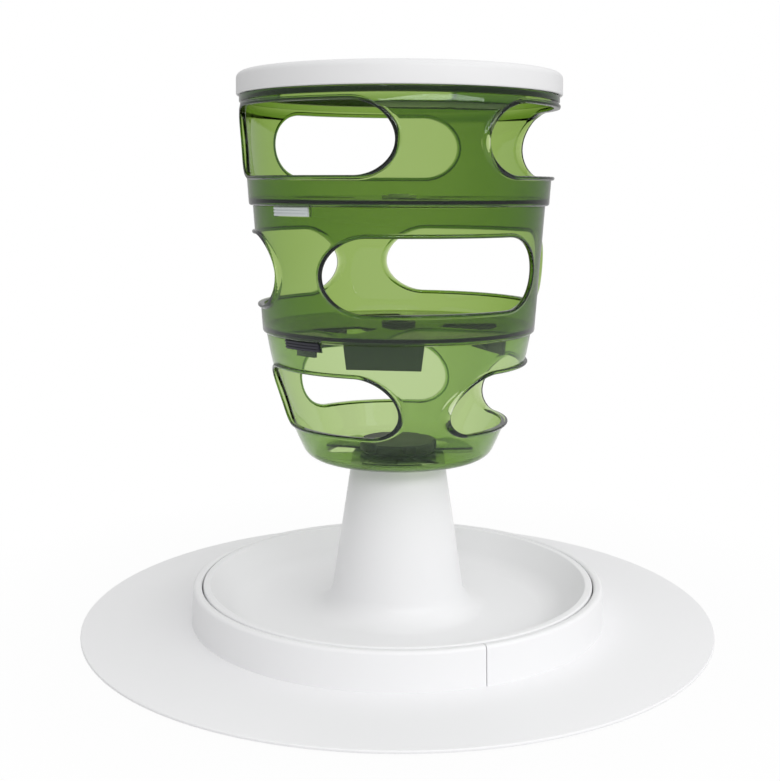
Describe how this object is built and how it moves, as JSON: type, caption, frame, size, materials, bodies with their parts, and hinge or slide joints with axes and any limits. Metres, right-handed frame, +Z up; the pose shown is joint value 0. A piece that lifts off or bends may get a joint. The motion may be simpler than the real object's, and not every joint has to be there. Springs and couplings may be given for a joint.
{
  "type": "cat food tree",
  "caption": "Treat-dispensing tower of translucent twist tiers with side windows and drop holes, on a trunk that rises from a round dish set in a wide collared mat.",
  "frame": {"origin": "on the floor under the centre of the mat", "axes": "+Z up along the tower's axis; -Y to the front, where a window of the middle tier stands"},
  "size_m": [0.3799, 0.38, 0.3244],
  "materials": {
    "mat_white": "satin moulded plastic",
    "dish_white": "glossy moulded plastic",
    "tier_green": "clear tinted plastic, polished",
    "dark_plastic": "fine matt moulded plastic",
    "pale_plastic": "fine matt moulded plastic",
    "pad_rubber": "soft matt pad"
  },
  "bodies": {
    "mat": {"placemat": "mat_white", "mat_collar": "mat_white", "mat_feet": "pad_rubber"},
    "dish": {"dish_trunk": "dish_white", "dish_feet": "pad_rubber", "shutter_bottom": "tier_green"},
    "knob": {"lock_knob": "dark_plastic"},
    "bottom_tier": {"tier_bottom": "tier_green"},
    "middle_shutter": {"shutter_middle": "dark_plastic", "hub_clip_middle": "dark_plastic"},
    "middle_tier": {"tier_middle": "tier_green"},
    "top_shutter": {"shutter_top": "pale_plastic", "hub_clip_top": "pale_plastic"},
    "top_tier": {"tier_top": "tier_green"},
    "cover": {"lid": "dish_white"}
  },
  "joints": [
    {"name": "dish_lift", "type": "slide", "parent": "mat", "child": "dish", "axis": [0, 0, 1], "range_m": [0, 0.05]},
    {"name": "knob_turn", "type": "hinge", "parent": "dish", "child": "knob", "pos_m": [0, 0, 0.108], "axis": [0, 0, 1], "range_deg": [0, 60]},
    {"name": "bottom_turn", "type": "hinge", "parent": "dish", "child": "bottom_tier", "pos_m": [0, 0, 0.101], "axis": [0, 0, 1], "continuous": true},
    {"name": "middle_lift", "type": "slide", "parent": "bottom_tier", "child": "middle_shutter", "axis": [0, 0, 1], "range_m": [0, 0.05]},
    {"name": "middle_turn", "type": "hinge", "parent": "middle_shutter", "child": "middle_tier", "pos_m": [0, 0, 0.179], "axis": [0, 0, 1], "range_deg": [-25, 60]},
    {"name": "top_lift", "type": "slide", "parent": "middle_tier", "child": "top_shutter", "axis": [0, 0, 1], "range_m": [0, 0.05]},
    {"name": "top_turn", "type": "hinge", "parent": "top_shutter", "child": "top_tier", "pos_m": [0, 0, 0.252], "axis": [0, 0, 1], "range_deg": [-60, 25]},
    {"name": "lid_lift", "type": "slide", "parent": "top_tier", "child": "cover", "axis": [0, 0, 1], "range_m": [0, 0.04]}
  ]
}
